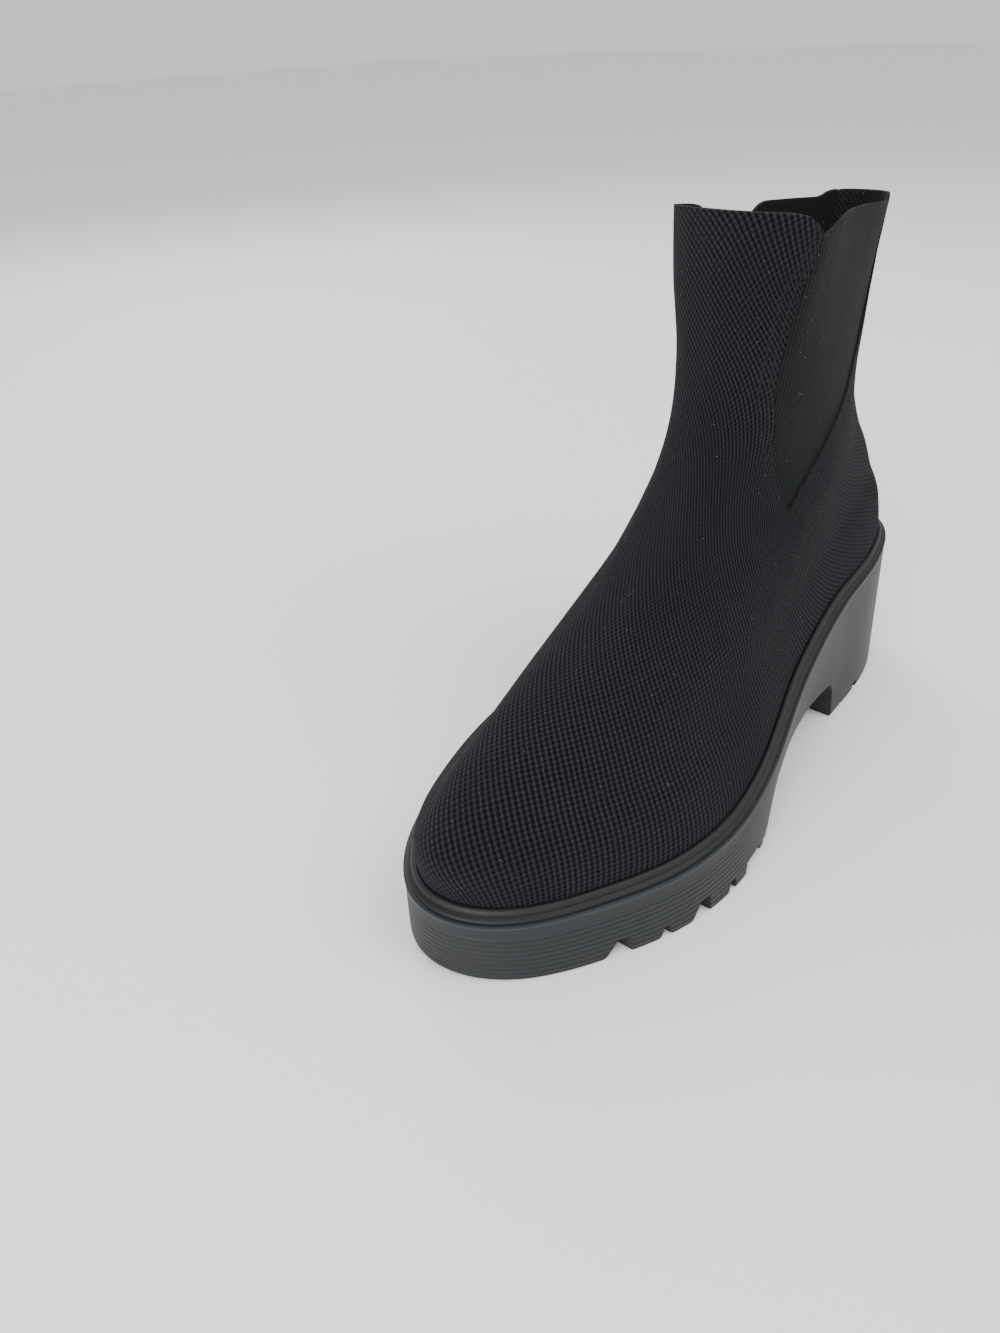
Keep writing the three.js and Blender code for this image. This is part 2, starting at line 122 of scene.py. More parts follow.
# Rings of the upper from the welt (0) to the collar (11) and a little above.
# backX, frontX: shares of LENGTH. backRise: share of the way from HEEL_WALL to COLLAR_BACK.
# frontRise: 0 to 1 from PLATFORM to INSTEP, 1 to 2 from INSTEP to COLLAR_FRONT.
# inset, lean, full: shares of BALL. toInstep, toAnkle, toCollar: shares of each plan in the mix.
RING_COLUMNS = ["level", "backX", "backRise", "frontX", "frontRise", "inset", "toInstep", "toAnkle",
                "toCollar", "lean", "full"]
RINGS = curves(RING_COLUMNS, [
    [0, 0.0205, 0, 0.9795, 0, 0.055, 0, 0, 0, 0, 0],
    [0.35, 0.0195, 0.03, 0.981, 0.05, 0.053, 0, 0, 0, 0, 0],
    [1, 0.012, 0.13, 0.99, 0.203, 0.082, 0.09, 0, 0, 0, 0.02],
    [2, 0.018, 0.215, 0.965, 0.362, 0.158, 0.34, 0, 0, -0.004, 0.055],
    [3, 0.037, 0.296, 0.899, 0.51, 0.158, 0.6, 0, 0, -0.005, 0.034],
    [4, 0.061, 0.369, 0.815, 0.645, 0.138, 0.85, 0, 0, -0.008, 0.009],
    [5, 0.081, 0.45, 0.711, 0.804, 0.117, 0.95, 0.05, 0, -0.012, 0],
    [6, 0.092, 0.527, 0.605, 1, 0.1, 0.75, 0.25, 0, -0.025, 0],
    [7, 0.089, 0.612, 0.523, 1.15, 0.1, 0.45, 0.55, 0, -0.037, 0],
    [8, 0.0765, 0.701, 0.473, 1.335, 0.1, 0.15, 0.85, 0, -0.042, 0],
    [9, 0.063, 0.798, 0.449, 1.55, 0.1, 0, 0.85, 0.15, -0.052, 0],
    [10, 0.053, 0.904, 0.4395, 1.78, 0.1, 0, 0.4, 0.6, -0.06, 0],
    [11, 0.051, 1, 0.4395, 2, 0.1, 0, 0.15, 0.85, -0.052, 0],
    [12, 0.051, 1.08, 0.4395, 2.1, 0.1, 0, 0.15, 0.85, -0.052, 0],
])
FEATHER_FADE = 5.0  # rings below this level follow the sole's curved edge
MIDDLE = BALL * float(RINGS["lean"](11))  # Y of the shaft's middle

# The gore's two seams in side view: shares of LENGTH and of COLLAR_FRONT. They meet low at the front,
# and the inner gore's front seam slants back from there to the collar.
GORE_FRONT_SEAM = [
    (0.384, 1.1), (0.3825, 0.966), (0.389, 0.928), (0.398, 0.892), (0.408, 0.794),
    (0.417, 0.73), (0.419, 0.65), (0.42, 0.6), (0.422, 0.54),
]
INNER_FRONT_SEAM = [
    (0.318, 1.1), (0.32, 0.966), (0.34, 0.85), (0.376, 0.73), (0.405, 0.64), (0.422, 0.54),
]
GORE_BACK_SEAM = [
    (0.417, 0.533), (0.381, 0.562), (0.34, 0.592), (0.281, 0.631), (0.225, 0.669),
    (0.165, 0.735), (0.115, 0.815), (0.083, 0.875), (0.069, 0.94), (0.067, 1.1),
]

# Collar edges of the outer and inner side: place from the back (0) to the front (1), and lift in mm
# above the straight line from COLLAR_BACK to COLLAR_FRONT
OUTER_EDGE = [
    (-0.3, 2), (0.05, 2), (0.08, 1.6), (0.11, 0), (0.13, -0.4), (0.4, 0.4), (0.6, 0),
    (0.7, -1.4), (0.79, -4), (0.85, -5.6), (0.868, -4.6), (0.884, -2), (0.905, -0.3),
    (0.94, 0.6), (1.3, 1.2),
]
INNER_EDGE = [
    (-0.3, 2), (0.05, 2), (0.08, 1.6), (0.11, 0), (0.13, -0.4), (0.42, -0.4), (0.46, -1.5),
    (0.5, -5.5), (0.53, -8), (0.69, -8), (0.705, -4), (0.73, -1), (0.77, 0), (0.94, 0.6),
    (1.3, 1.2),
]

# Lower edge of the sole in side view: share of LENGTH, height as a share of PLATFORM
ARCH = [
    (0.263, -1), (0.263, 0), (0.268, 0.55), (0.276, 0.72), (0.29, 0.78), (0.35, 0.805),
    (0.45, 0.74), (0.51, 0.67), (0.53, 0.6), (0.545, 0.4), (0.562, 0.19), (0.573, 0.18),
    (0.576, 0.11), (0.588, 0.17), (0.592, 0.1), (0.606, 0.14), (0.608, 0.24), (0.645, 0.22),
    (0.652, 0), (0.652, -1),
]
# Notches of the lower edge: back, roof's back, roof's front and front as shares of LENGTH,
# height as a share of PLATFORM
NOTCHES = [
    (0.103, 0.106, 0.111, 0.115, 0.09), (0.16, 0.164, 0.176, 0.184, 0.16),
    (0.218, 0.222, 0.228, 0.232, 0.09), (0.673, 0.676, 0.686, 0.694, 0.2),
    (0.726, 0.728, 0.744, 0.761, 0.3), (0.787, 0.791, 0.799, 0.806, 0.2),
    (0.838, 0.84, 0.856, 0.873, 0.3),
]


# Surfaces of the boot, as arrays over an angle and a height or level

def ring_place(angle):
    """Share of the half width, angle from the back in degrees and share of the length."""
    half = np.where(angle <= np.pi, angle, 2 * np.pi - angle)
    side = np.where(angle <= np.pi, 1.0, -1.0) * np.sin(half)
    along = (1 - np.cos(half)) / 2
    return side, np.degrees(half), along


def wall_height(x):
    return PLATFORM + (HEEL_WALL - PLATFORM) * WALL["climb"](np.clip(x / LENGTH, 0, 1))


def border_height(x):
    return BORDER_TOE + (BORDER_HEEL - BORDER_TOE) * WALL["climb"](np.clip(x / LENGTH, 0, 1))


def sole_point(angle, inset, height):
    """Point of the sole's outline drawn in by `inset`; `height` gives Z from X."""
    side, degrees, along = ring_place(angle)
    x = inset + (LENGTH - 2 * inset) * along
    z = height(x) + 0 * x
    tuck = WALL["tuck"](along) * BALL * (1 - np.clip(z / wall_height(x), 0, 1))
    y = side * (PLAN["sole"](degrees) * BALL - inset - tuck) + PLAN["shift"](degrees) * BALL
    return np.stack([x, y, z], -1)


def upper_point(level, angle):
    """Point of the knit's outer face."""
    side, degrees, along = ring_place(angle)
    row = {name: read(level) for name, read in RINGS.items()}
    x = LENGTH * (row["backX"] + (row["frontX"] - row["backX"]) * along)
    back = HEEL_WALL + GAP + row["backRise"] * (COLLAR_BACK - HEEL_WALL - GAP)
    rise = row["frontRise"]
    low = PLATFORM + GAP + rise * (INSTEP - PLATFORM - GAP)
    front = np.where(rise <= 1, low, INSTEP + (rise - 1) * (COLLAR_FRONT - INSTEP))
    fade = np.maximum(1 - level / FEATHER_FADE, 0) ** 1.5
    feather = LENGTH * (RINGS["backX"](0) + (RINGS["frontX"](0) - RINGS["backX"](0)) * along)
    bend = wall_height(feather) - HEEL_WALL - (PLATFORM - HEEL_WALL) * along
    z = back + (front - back) * along + fade * bend
    kept = 1 - row["toInstep"] - row["toAnkle"] - row["toCollar"]
    half = kept * (PLAN["sole"](degrees) - row["inset"]) + row["toInstep"] * PLAN["instep"](degrees)
    half = half + row["toAnkle"] * PLAN["ankle"](degrees) + row["toCollar"] * PLAN["collar"](degrees)
    full = np.where(side > 0, PLAN["outerFull"](degrees), PLAN["innerFull"](degrees))
    half = half + row["full"] * full
    y = BALL * (side * half + row["lean"] + kept * PLAN["shift"](degrees))
    return np.stack([x, y, z], -1)


def upper_normal(level, angle):
    """Direction out of the face."""
    step = 0.02
    up = upper_point(level + step, angle) - upper_point(np.maximum(level - step, 0), angle)
    ahead = upper_point(level, (angle + step) % FULL_TURN)
    behind = upper_point(level, (angle - step) % FULL_TURN)
    out = np.cross(up, ahead - behind)
    return out / np.linalg.norm(out, axis=-1, keepdims=True)


def gap_to_edge(x, z, start, end):
    """Distance of points in side view from the line between two corners, and run along it."""
    (ax, az), (bx, bz) = start, end
    length = math.hypot(bx - ax, bz - az)
    share = np.clip(((x - ax) * (bx - ax) + (z - az) * (bz - az)) / length**2, 0, 1)
    return np.hypot(x - ax - share * (bx - ax), z - az - share * (bz - az)), share * length


def outline_distance(x, z, seams):
    """Distance from a gore's outline in side view, negative inside the gore, and run along it."""
    corners = [(a * LENGTH, b * COLLAR_FRONT) for a, b in seams]
    best = np.full(x.shape, FAR)
    run = np.zeros(x.shape)
    inside = np.zeros(x.shape, bool)
    start = 0.0
    for (ax, az), (bx, bz) in zip(corners, corners[1:] + corners[:1]):
        inside ^= ((az > z) != (bz > z)) & (x < (bx - ax) * (z - az) / (bz - az + 1e-12) + ax)
    for first, second in zip(corners, corners[1:]):
        gap, along = gap_to_edge(x, z, first, second)
        nearer = gap < best
        best = np.where(nearer, gap, best)
        run = np.where(nearer, start + along, run)
        start += math.dist(first, second)
    return np.where(inside, -best, best), run


def seam_distance(points):
    """Distance from the gore's outline on the point's own side of the boot, and run along it."""
    x, outer = points[..., 0], points[..., 1] > MIDDLE
    outer_gap, outer_run = outline_distance(x, points[..., 2], GORE_FRONT_SEAM + GORE_BACK_SEAM)
    inner_gap, inner_run = outline_distance(x, points[..., 2], INNER_FRONT_SEAM + GORE_BACK_SEAM)
    return np.where(outer, outer_gap, inner_gap), np.where(outer, outer_run, inner_run)


def lift_of(edge, along):
    """Lift of a collar edge, its corners eased by the mean of a few places side by side."""
    knots, lifts = zip(*edge)
    beside = (-0.014, -0.007, 0, 0.007, 0.014)
    return sum(np.interp(along + shift, knots, lifts) for shift in beside) / len(beside)


def over_collar(points):
    """Height above the collar's edge."""
    back = RINGS["backX"](11) * LENGTH
    front = RINGS["frontX"](11) * LENGTH
    along = (points[..., 0] - back) / (front - back)
    lift = np.where(points[..., 1] > MIDDLE, lift_of(OUTER_EDGE, along), lift_of(INNER_EDGE, along))
    return points[..., 2] - COLLAR_BACK - (COLLAR_FRONT - COLLAR_BACK) * along - lift


def placed(points):
    """From millimetres off the heel's back to the part's frame in metres."""
    return (points - CENTRE) * MM


# Camera, floor and light

# The photograph's camera: place in mm from the heel's back, heading in plan, angle down, roll and lens
CAMERA_PLACE = np.array([402.3, 158.2, 242.14])
CAMERA_AHEAD = (-0.7375, -0.6753, 0)
CAMERA_DOWN = 32.41
CAMERA_ROLL = 3.0
CAMERA_LENS = 27.27


def add_camera():
    eye = placed(CAMERA_PLACE)
    ahead = Vector(CAMERA_AHEAD).normalized()
    pitch = math.radians(CAMERA_DOWN)
    roll = math.radians(CAMERA_ROLL)
    forward = ahead * math.cos(pitch) - Vector((0, 0, 1)) * math.sin(pitch)
    right = forward.cross(Vector((0, 0, 1))).normalized()
    up = right.cross(forward)
    turned_right = right * math.cos(roll) - up * math.sin(roll)
    turned_up = right * math.sin(roll) + up * math.cos(roll)
    bpy.ops.object.camera_add()
    camera = bpy.context.object
    basis = Matrix((turned_right, turned_up, -forward)).transposed()
    camera.matrix_world = Matrix.Translation(Vector(eye)) @ basis.to_4x4()
    camera.data.lens = CAMERA_LENS
    camera.data.sensor_width = 36
    camera.data.clip_start = 0.01
    bpy.context.scene.camera = camera


def add_light(name, place, aim, size, power):
    """A soft round light. Its size is in metres and its power in watts."""
    bpy.ops.object.light_add(type="AREA", location=place)
    lamp = bpy.context.object
    lamp.name = name
    lamp.data.shape = "DISK"
    lamp.data.size = size
    lamp.data.energy = power
    lamp.rotation_euler = (Vector(aim) - Vector(place)).to_track_quat("-Z", "Y").to_euler()


def add_studio():
    add_light("window", (-0.3, 0.9, 1.3), (0, 0, 0.05), 1.1, 13)
    add_light("fill", (1.5, 0.3, 0.75), (0, 0, 0.08), 1.2, 30)
    add_light("rim", (-0.5, -1.0, 0.9), (0, 0, 0.1), 0.8, 7)
    world = bpy.data.worlds.new("room")
    world.use_nodes = True
    background = world.node_tree.nodes["Background"]
    background.inputs["Color"].default_value = (0.80, 0.81, 0.82, 1)
    background.inputs["Strength"].default_value = 1.05
    bpy.context.scene.world = world


def add_floor():
    bpy.ops.mesh.primitive_plane_add(size=16, location=(0, 0, 0))
    floor = bpy.context.object
    floor.name = "floor"
    floor.data.materials.append(Finish("pale_floor", (0.9, 0.9, 0.885), roughness=0.85).material)


# Shader maths

class Value:
    """A socket that takes part in Python expressions."""

    def __init__(self, net, socket):
        self.net = net
        self.socket = socket

    def _maths(self, kind, *others):
        return self.net.add("ShaderNodeMath", {"operation": kind}, *others)

    def __add__(self, other):
        return self._maths("ADD", self, other)

    __radd__ = __add__

    def __mul__(self, other):
        return self._maths("MULTIPLY", self, other)

    __rmul__ = __mul__

    def __sub__(self, other):
        return self._maths("SUBTRACT", self, other)

    def __rsub__(self, other):
        return self._maths("SUBTRACT", other, self)

    def __truediv__(self, other):
        return self._maths("DIVIDE", self, other)

    def sine(self):
        return self._maths("SINE", self)

    def floor(self):
        return self._maths("FLOOR", self)

    def fraction(self):
        return self._maths("FRACT", self)

    def absolute(self):
        return self._maths("ABSOLUTE", self)

    def root(self):
        return self._maths("SQRT", self)

    def wrap(self, span):
        return self._maths("FLOORED_MODULO", self, span)

    def most(self, other):
        return self._maths("MAXIMUM", self, other)

    def step(self, low, high):
        """0 below `low`, 1 above `high`, smooth between; `low` may be the larger."""
        settings = {"interpolation_type": "SMOOTHSTEP"}
        return self.net.add("ShaderNodeMapRange", settings, self, low, high)

    def wave(self, pitch):
        """Ribs of that pitch, from 0 in the groove to 1 on the crest."""
        return (self * (FULL_TURN / pitch)).sine() * 0.5 + 0.5


class Finish:
    """A material on one surface shader."""

    def __init__(self, name, colour=(0.5, 0.5, 0.5), roughness=0.6, **sockets):
        self.material = bpy.data.materials.new(name)
        self.material.use_nodes = True
        self.nodes = self.material.node_tree.nodes
        self.links = self.material.node_tree.links
        self.shader = self.nodes["Principled BSDF"]
        self.set("Base Color", colour)
        self.set("Roughness", roughness)
        for key, value in sockets.items():
            self.set(key.replace("_", " "), value)

    def fill(self, socket, value):
        """Links or sets a socket. A colour gets its fourth number."""
        if isinstance(value, Value):
            self.links.new(value.socket, socket)
        elif isinstance(value, tuple) and socket.type == "RGBA":
            socket.default_value = (*value, 1)
        else:
            socket.default_value = value

    def set(self, key, value):
        self.fill(self.shader.inputs[key], value)

    def add(self, kind, settings, *inputs, out=0, **named):
        """A node of that kind: settings first, then its inputs by place or name."""
        node = self.nodes.new(kind)
        for key, value in settings.items():
            setattr(node, key, value)
        for place, value in enumerate(inputs):
            self.fill(node.inputs[place], value)
        for key, value in named.items():
            self.fill(node.inputs[key], value)
        return Value(self, node.outputs[out])

    def attribute(self, name):
        return self.add("ShaderNodeAttribute", {"attribute_name": name}, out=2)

    def object_place(self):
        return self.add("ShaderNodeTexCoord", {}, out=3)

    def parts(self, vector):
        node = self.nodes.new("ShaderNodeSeparateXYZ")
        self.fill(node.inputs[0], vector)
        return [Value(self, node.outputs[i]) for i in range(3)]

    def uv(self, name):
        return self.parts(self.add("ShaderNodeUVMap", {"uv_map": name}))

    def together(self, x, y, z=0.0):
        return self.add("ShaderNodeCombineXYZ", {}, x, y, z)

    def noise(self, place, scale, detail=3.0):
        return self.add("ShaderNodeTexNoise", {}, Vector=place, Scale=scale, Detail=detail)

    def dots(self, place, scale):
        """Distance from scattered points."""
        return self.add("ShaderNodeTexVoronoi", {}, Vector=place, Scale=scale)

    def colours(self, share, low, high):
        """Mix of two colours, which are the node's inputs 6 and 7."""
        node = self.nodes.new("ShaderNodeMix")
        node.data_type = "RGBA"
        for place, value in ((0, share), (6, low), (7, high)):
            self.fill(node.inputs[place], value)
        return Value(self, node.outputs[2])

    def bump(self, height, metres, strength=1.0):
        normal = self.add("ShaderNodeBump", {}, Strength=strength, Distance=metres, Height=height)
        self.set("Normal", normal)


# Mesh helpers

def pick(piece):
    """Makes the piece the only selected object and the active one."""
    bpy.ops.object.select_all(action="DESELECT")
    bpy.context.view_layer.objects.active = piece
    piece.select_set(True)


def edit(piece, *steps):
    """Runs edit mode operators, each with its settings, on the whole piece."""
    pick(piece)
    bpy.ops.object.mode_set(mode="EDIT")
    for operator, settings in steps:
        bpy.ops.mesh.select_all(action="SELECT")
        operator(**settings)
    bpy.ops.object.mode_set(mode="OBJECT")


def merge(metres):
    return bpy.ops.mesh.remove_doubles, {"threshold": metres}


OUTWARDS = (bpy.ops.mesh.normals_make_consistent, {"inside": False})


def grid_piece(name, points, closed):
    """A grid primitive whose rows and columns are laid over the given points (rows, columns, 3)."""
    rows, columns = points.shape[:2]
    bpy.ops.object.select_all(action="DESELECT")
    bpy.ops.mesh.primitive_grid_add(x_subdivisions=columns - 1, y_subdivisions=rows - 1, size=1)
    piece = bpy.context.object
    piece.name = name
    piece.data.vertices.foreach_set("co", placed(points).reshape(-1).astype(np.float32))
    piece.data.update()
    if closed:
        edit(piece, merge(1e-6))
    return piece


def add_number(piece, name, values):
    layer = piece.data.attributes.new(name, "FLOAT", "POINT")
    layer.data.foreach_set("value", np.asarray(values, np.float32))


def places(piece):
    flat = np.zeros(len(piece.data.vertices) * 3, np.float32)
    piece.data.vertices.foreach_get("co", flat)
    return flat.reshape(-1, 3)


def measured(piece):
    """Places of the piece's corners in millimetres from the heel's back."""
    return places(piece) / MM + CENTRE


def apply_modifier(piece, kind, **settings):
    pick(piece)
    modifier = piece.modifiers.new(kind.lower(), kind)
    for key, value in settings.items():
        setattr(modifier, key, value)
    bpy.ops.object.modifier_apply(modifier=modifier.name)


def round_edges(piece, width, segments):
    """Rounds the cut edges of a sheet (mm)."""
    settings = {"width": width * MM, "segments": segments, "limit_method": "ANGLE", "angle_limit": 1.0}
    apply_modifier(piece, "BEVEL", **settings)


def shade(piece, degrees):
    pick(piece)
    bpy.ops.object.shade_smooth_by_angle(angle=math.radians(degrees))


def finish_piece(piece, material, node):
    """Dresses the piece and lets it stand for its solid."""
    piece.data.materials.clear()
    piece.data.materials.append(material)
    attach(piece, "root")
    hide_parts(node)


# The knit shell

AROUND = 300  # columns of its grid
LEVELS = 150  # rows of its grid
LOW_LEVELS = 16  # of these, rows below the first level
TOP_LEVEL = 11.6
KNIT_EDGE = 0.8  # rounding of the cut edges, mm
LONGEST_SLIDE = 4.0  # a corner further than this from the outline stays, mm

# The lowest rings lean out against the bead, mm: at the foot, and as a low swell just above it
HUG_FOOT = 0.6
HUG_SWELL = 0.5

# Soft troughs of the knit: line in side view (shares of LENGTH and COLLAR_FRONT), side of the boot,
# width and depth in mm
CREASES = [
    {"side": 1, "line": [(0.43, 0.50), (0.50, 0.40), (0.545, 0.33)], "width": 7, "depth": 0.4},
    {"side": 1, "line": [(0.41, 0.49), (0.455, 0.41), (0.485, 0.335)], "width": 6, "depth": 0.3},
    {"side": 1, "line": [(0.36, 0.50), (0.40, 0.43), (0.43, 0.36)], "width": 6, "depth": 0.25},
    {"side": -1, "line": [(0.43, 0.50), (0.50, 0.40), (0.545, 0.33)], "width": 7, "depth": 0.4},
    {"side": -1, "line": [(0.40, 0.48), (0.44, 0.40), (0.47, 0.335)], "width": 6, "depth": 0.3},
]
CREASE_FADE = 6  # mm from the boot's middle over which a crease dies out


def crease_depth(points):
    """How far the face sinks (mm) along the creases, with a low ridge on each side."""
    x, y, z = points[..., 0], points[..., 1], points[..., 2]
    sink = np.zeros(x.shape)
    for crease in CREASES:
        line = [(a * LENGTH, b * COLLAR_FRONT) for a, b in crease["line"]]
        gaps = [gap_to_edge(x, z, start, end)[0] for start, end in zip(line, line[1:])]
        r = np.minimum.reduce(gaps) / crease["width"]
        form = (1 - 1.2 * r**2) * np.exp(-r**2)
        sided = np.clip((y - MIDDLE) * crease["side"] / CREASE_FADE, 0, 1)
        sink += crease["depth"] * form * sided
    return sink


def shell_grid(levels, angles):
    """The knit's face on a grid of levels and angles, with its creases."""
    level, angle = np.meshgrid(levels, angles, indexing="ij")
    points = upper_point(level, angle)
    hug = HUG_FOOT * np.clip(1 - level / 0.8, 0, 1) ** 2
    hug = hug + HUG_SWELL * np.exp(-(((level - 0.55) / 0.3) ** 2))
    sink = crease_depth(points) - hug
    return level, angle, points - upper_normal(level, angle) * sink[..., None]


def outside_knit(points, ease=1.2):
    """Above 0 inside the gores' windows and over the collar, the corner between them eased."""
    window = -seam_distance(points)[0]
    above = over_collar(points)
    return (window + above + np.sqrt((window - above) ** 2 + ease**2)) / 2 - ease / 8


def slide_to(level, angle, measure):
    """Moves points of the face within it until `measure` of them is 0."""
    step = 0.01
    for _ in range(8):
        here = measure(upper_point(level, angle))
        by_level = (measure(upper_point(level + step, angle)) - here) / step
        by_angle = (measure(upper_point(level, angle + step)) - here) / step
        steep = by_level**2 + by_angle**2 + 1e-6
        level = np.clip(level - here * by_level / steep, 0, 12)
        angle = angle - here * by_angle / steep
    return level, angle


def kept_faces(outside):
    """Faces of the grid that are knit, judged at their middle."""
    middle = outside[:-1, :-1] + outside[1:, :-1] + outside[:-1, 1:] + outside[1:, 1:]
    return middle / 4 < 0


def cut_corners(kept):
    """Rows and columns of the grid's corners on a cut edge. The foot of the knit isn't one."""
    touching = np.zeros((kept.shape[0] + 1, kept.shape[1] + 1), int)
    for rows in (slice(None, -1), slice(1, None)):
        for columns in (slice(None, -1), slice(1, None)):
            touching[rows, columns] += kept
    touching[:, 0] = touching[:, -1] = touching[:, 0] + touching[:, -1]
    edge = (touching > 0) & (touching < 4)
    edge[0] = False
    return np.nonzero(edge)


def drop_faces(piece, kept):
    bm = bmesh.new()
    bm.from_mesh(piece.data)
    bm.faces.ensure_lookup_table()
    gone = [face for face, stays in zip(bm.faces, kept) if not stays]
    bmesh.ops.delete(bm, geom=gone, context="FACES")
    bm.to_mesh(piece.data)
    bm.free()


def true_scale(mesh):
    """What the flat pattern is multiplied by to have the size of the surface."""
    bm = bmesh.new()
    bm.from_mesh(mesh)
    flat = bm.loops.layers.uv.active
    real = 0.0
    drawn = 0.0
    for face in bm.faces:
        corners = [loop[flat].uv for loop in face.loops]
        turn = sum(a.x * b.y - b.x * a.y for a, b in zip(corners, corners[1:] + corners[:1]))
        real += face.calc_area()
        drawn += abs(turn) / 2
    bm.free()
    return math.sqrt(real / drawn)


def unwrap_knit(piece):
    """Flattens the shell, cut up the back, to true size, with the front's middle upright."""
    unwrap = {"method": "MINIMUM_STRETCH", "iterations": 12, "margin": 0}
    edit(piece, (bpy.ops.uv.unwrap, unwrap))
    mesh = piece.data
    layer = mesh.uv_layers.active
    flat = np.zeros(len(mesh.loops) * 2, np.float32)
    layer.data.foreach_get("uv", flat)
    uv = flat.reshape(-1, 2).astype(float) * true_scale(mesh)
    vertex = np.zeros(len(mesh.loops), np.int32)
    mesh.loops.foreach_get("vertex_index", vertex)
    at = places(piece)[vertex]

    # A strip up the middle of the vamp and shaft shows which way the pattern climbs
    front = (np.abs(at[:, 1] + 0.004) < 0.004) & (at[:, 0] > -0.03)
    climb = at[front, 2] - at[front, 0] * 0.5
    axis = (uv[front] - uv[front].mean(0)).T @ (climb - climb.mean())
    turn = math.atan2(axis[0], axis[1])
    c, s = math.cos(turn), math.sin(turn)
    uv = uv @ np.array([[c, s], [-s, c]])
    layer.data.foreach_set("uv", uv.reshape(-1).astype(np.float32))
    layer.name = "knit"


def build_shell():
    low = np.linspace(0, 1, LOW_LEVELS) ** 1.3
    high = np.linspace(1, TOP_LEVEL, LEVELS - LOW_LEVELS + 1)[1:]
    angles = np.linspace(0, FULL_TURN, AROUND + 1)
    level, angle, points = shell_grid(np.concatenate([low, high]), angles)

    # Faces in the gores' windows and above the collar go, and the new edge slides onto the outline
    kept = kept_faces(outside_knit(points))
    rows, columns = cut_corners(kept)
    slid_level, slid_angle = slide_to(level[rows, columns], angle[rows, columns], outside_knit)
    slid = upper_point(slid_level, slid_angle % FULL_TURN)
    near = np.linalg.norm(slid - points[rows, columns], axis=1) < LONGEST_SLIDE
    points[rows[near], columns[near]] = slid[near]
    shell = grid_piece("knit_upper", points, closed=False)
    drop_faces(shell, kept.reshape(-1))

    # The pattern needs the cut up the back, which closes after it
    unwrap_knit(shell)
    edit(shell, merge(1e-5), OUTWARDS)
    gap, run = seam_distance(measured(shell))
    add_number(shell, "seam_gap", gap)
    add_number(shell, "seam_run", run)
    apply_modifier(shell, "SOLIDIFY", thickness=KNIT * MM, offset=-1, use_even_offset=False)
    round_edges(shell, KNIT_EDGE, 3)
    shade(shell, 50)
    return shell


# The elastic gores

GORE_ROWS = 130
GORE_COLUMNS = 80
GORE_EDGE = 0.35  # rounding of the panel's edges, mm


def gore_edges(side, angles):
    """Angles of the back and front seam for each level, and the rim's level for each angle."""
    levels = np.linspace(5.5, 12, 260)
    level, angle = np.meshgrid(levels, angles, indexing="ij")
    face = upper_point(level, angle if side > 0 else FULL_TURN - angle)
    gap, _ = seam_distance(face)
    inside = gap < -GAP
    good = inside.sum(1) > 1
    first = np.argmax(inside, axis=1)
    last = len(angles) - 1 - np.argmax(inside[:, ::-1], axis=1)
    step = angles[1] - angles[0]
    rows = np.arange(len(levels))

    def crossing(column, towards):
        here = gap[rows, column]
        there = gap[rows, np.clip(column + towards, 0, len(angles) - 1)]
        share = np.clip((-GAP - here) / (there - here + 1e-12), 0, 1)
        return angles[column] + towards * share * step

    back, front = crossing(first, -1), crossing(last, 1)
    over = over_collar(face)
    top_row = np.argmax(over > 0, axis=0)
    columns = np.arange(len(angles))
    low, high = over[top_row - 1, columns], over[top_row, columns]
    rim = levels[top_row - 1] - low / (high - low) * (levels[1] - levels[0])
    return levels[good], back[good], front[good], rim


def gore_grid(side):
    """Level and angle of a grid that follows the two seams and the rim, and the run across it in mm."""
    angles = np.linspace(0.03, np.pi - 0.03, 900)
    levels, back, front, rim = gore_edges(side, angles)
    across, up = np.meshgrid(np.linspace(0, 1, GORE_COLUMNS), np.linspace(0, 1, GORE_ROWS))
    level = levels[0] + (levels[-1] - levels[0]) * up
    for _ in range(25):
        back_here = np.interp(level, levels, back)
        front_here = np.interp(level, levels, front)
        angle = back_here * (1 - across) + front_here * across
        level = levels[0] + (np.interp(angle, angles, rim) - levels[0]) * up
    ring = upper_point(9.0 + 0 * angles, angles)
    arc = np.concatenate([[0], np.cumsum(np.linalg.norm(np.diff(ring, axis=0), axis=1))])
    return level, angle, np.interp(angle, angles, arc)


def build_gore(name, side):
    """One gore: a patch of the face, set back, between its two seams and the collar's edge."""
    level, angle, run = gore_grid(side)
    if side < 0:
        angle = FULL_TURN - angle
    points = upper_point(level, angle)
    sink = GORE_STEP + crease_depth(points) * 0.5
    gore = grid_piece(name, points - upper_normal(level, angle) * sink[..., None], closed=False)
    edit(gore, OUTWARDS)
    middle_face = gore.data.polygons[len(gore.data.polygons) // 2]
    if middle_face.normal.y * side < 0:
        gore.data.flip_normals()
    add_number(gore, "across", run.reshape(-1))
    apply_modifier(gore, "SOLIDIFY", thickness=GORE * MM, offset=-1)
    round_edges(gore, GORE_EDGE, 2)
    shade(gore, 50)
    return gore


# The sole

STATIONS = 240  # points round each ring
RING = np.linspace(0, FULL_TURN, STATIONS + 1)

# Rounding of the floor edge, and fine lip along the top edge: inset and height or drop in mm
SOLE_FOOT = [(1.4, 0.0), (0.4, 0.4), (0.0, 1.4)]
SOLE_LIP = [(0.0, 2.0), (-0.05, 1.4), (-0.2, 1.0), (-0.28, 0.6), (-0.2, 0.25), (0.1, 0.05), (0.6, 0.0)]
TOE_LIFT = [(0.86, 0), (0.9, 0.08), (0.95, 0.42), (1, 1), (1.1, 2.2)]  # shares of LENGTH, TOE_SPRING


